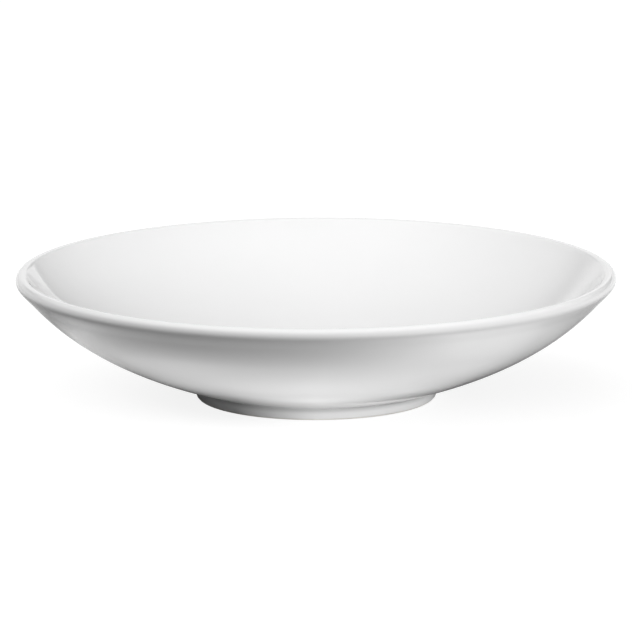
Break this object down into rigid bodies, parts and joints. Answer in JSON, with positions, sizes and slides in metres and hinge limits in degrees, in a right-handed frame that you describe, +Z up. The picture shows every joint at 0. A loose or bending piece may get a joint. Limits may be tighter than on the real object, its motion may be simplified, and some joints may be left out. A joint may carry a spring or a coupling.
{
  "type": "deep plate",
  "caption": "Round coupe-shaped deep plate in white glazed porcelain, with a smooth sloping wall, a softly rolled lip and a low foot ring with a bare bearing edge, for soup, pasta or salad.",
  "frame": {"origin": "on the plate's axis, in the plane of the bare bearing edge that it stands on", "axes": "+Z up along the plate's axis, out of the bowl; X and Y are any two level directions, as the plate is a body of revolution"},
  "size_m": [0.24, 0.24, 0.0509],
  "materials": {
    "bisque": "fired porcelain without glaze, matt and very finely grained, ground smooth on the bearing edge",
    "glaze": "clear glossy glaze on white porcelain, with the faint ripple of a fired glass surface"
  },
  "bodies": {
    "root": {"plate_body": "bisque", "foot_ring": "bisque", "glaze_coat": "glaze", "base_glaze": "glaze"}
  },
  "joints": []
}
